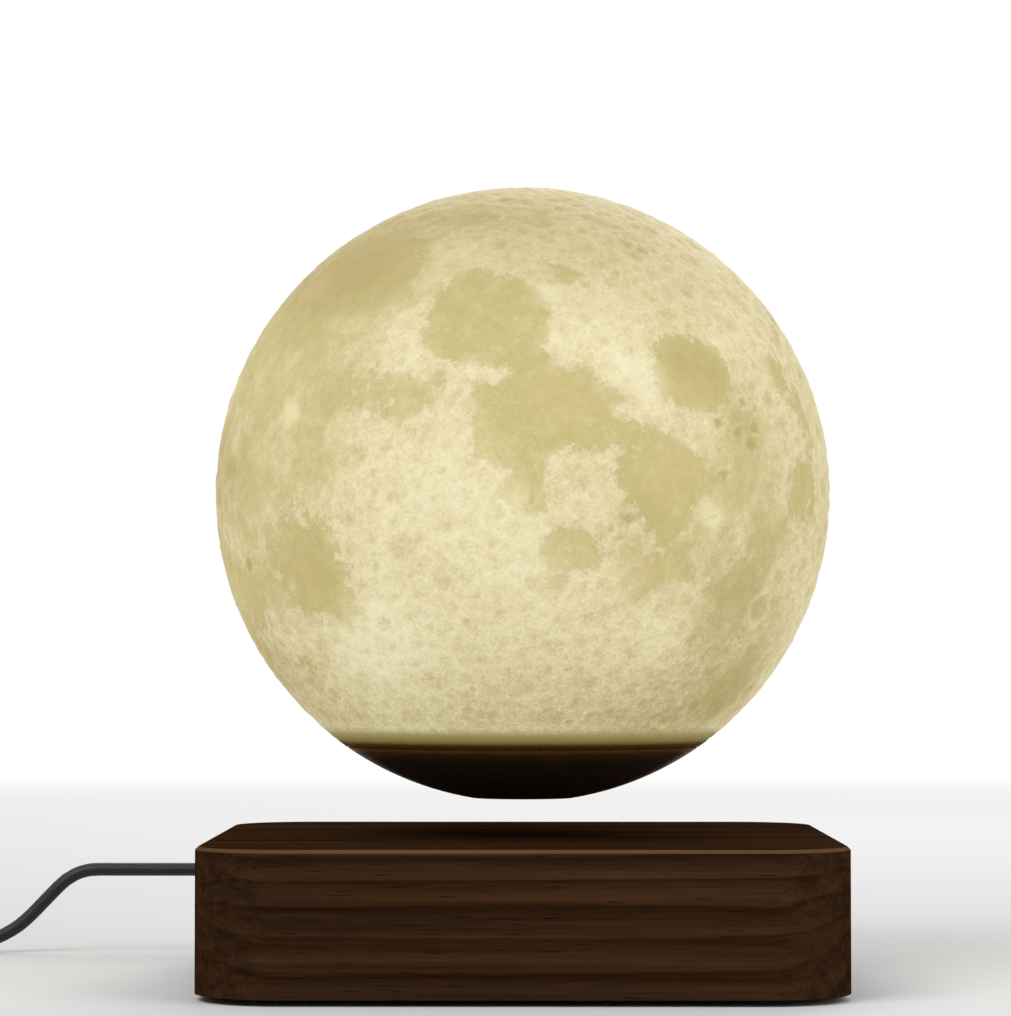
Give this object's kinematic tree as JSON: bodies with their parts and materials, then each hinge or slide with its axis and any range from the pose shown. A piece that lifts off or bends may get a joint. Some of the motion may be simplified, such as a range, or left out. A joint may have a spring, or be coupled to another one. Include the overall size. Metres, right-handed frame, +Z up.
{
  "type": "levitating moon lamp",
  "caption": "Lit moon globe with a dark magnetic foot that hovers over a square wooden base, with a low-voltage cord to a plug-in adapter.",
  "frame": {"origin": "on the table under the middle of the square base, cord and adapter left out", "axes": "+Z up, along the line that the globe hovers on; -Y is the front of the base; the socket is in the back face, at +Y"},
  "size_m": [0.3063, 0.1693, 0.193],
  "materials": {
    "walnut": "oiled, open grain",
    "plate_plastic": "moulded, fine texture",
    "foot_rubber": "moulded",
    "screw_steel": "zinc plated",
    "circuit_board": "solder mask",
    "chip_plastic": "moulded",
    "tray_plastic": "moulded",
    "ferrite": "ground",
    "bobbin_plastic": "moulded",
    "copper_wire": "enamelled wire",
    "core_steel": "turned",
    "fibre_board": "plain",
    "copper_foil": "foil",
    "socket_plastic": "moulded",
    "plated_brass": "plated",
    "nickel": "plated",
    "moon_plastic": "printed in fine layers, lit from inside",
    "neck_plastic": "printed",
    "foot_plastic": "moulded, satin",
    "magnet_nickel": "nickel plated",
    "heat_sink": "turned",
    "light_board": "white mask",
    "light_chip": "phosphor",
    "cord_plastic": "moulded",
    "cord_sheath": "smooth sheath",
    "tie_fabric": "hook and loop",
    "adapter_plastic": "moulded, fine texture"
  },
  "bodies": {
    "base": {"wood_case": "walnut", "bottom_plate": "plate_plastic", "rubber_feet": "foot_rubber", "base_screws": "screw_steel", "control_board": "circuit_board", "board_parts": "chip_plastic", "board_screws": "screw_steel", "module_tray": "tray_plastic", "tray_screws": "screw_steel", "ring_magnet": "ferrite", "yoke_plate": "screw_steel", "coil_bobbins": "bobbin_plastic", "coil_windings": "copper_wire", "coil_cores": "core_steel", "hall_board": "circuit_board", "hall_sensors": "chip_plastic", "spacer_ring": "fibre_board", "transmit_coil": "copper_wire", "touch_pad": "copper_foil", "dc_jack": "socket_plastic", "jack_pin": "plated_brass", "jack_nut": "nickel", "plug_barrel": "nickel", "plug_body": "cord_plastic", "plug_relief": "cord_plastic", "cord_lead": "cord_sheath", "cord_coil": "cord_sheath", "coil_tie": "tie_fabric", "cord_tail": "cord_sheath", "adapter_relief": "cord_plastic", "adapter_case": "adapter_plastic", "adapter_face": "adapter_plastic", "adapter_pins": "plated_brass"},
    "lift": {"lift_magnet": "magnet_nickel"},
    "globe": {"moon_shell": "moon_plastic", "neck_ring": "neck_plastic", "foot_cap": "foot_plastic", "magnet_cover": "tray_plastic", "cover_screws": "screw_steel", "receive_coil": "copper_wire", "power_board": "circuit_board", "power_parts": "chip_plastic", "led_post": "heat_sink", "led_board": "light_board", "led_chips": "light_chip"}
  },
  "joints": [
    {"name": "hover", "type": "slide", "parent": "base", "child": "lift", "axis": [0, 0, 1], "range_m": [-0.0087, 0.012], "stiffness_N_per_m": 250, "springref_m": 0.012},
    {"name": "spin", "type": "hinge", "parent": "lift", "child": "globe", "pos_m": [0, 0, 0.118], "axis": [0, 0, 1], "continuous": true}
  ]
}
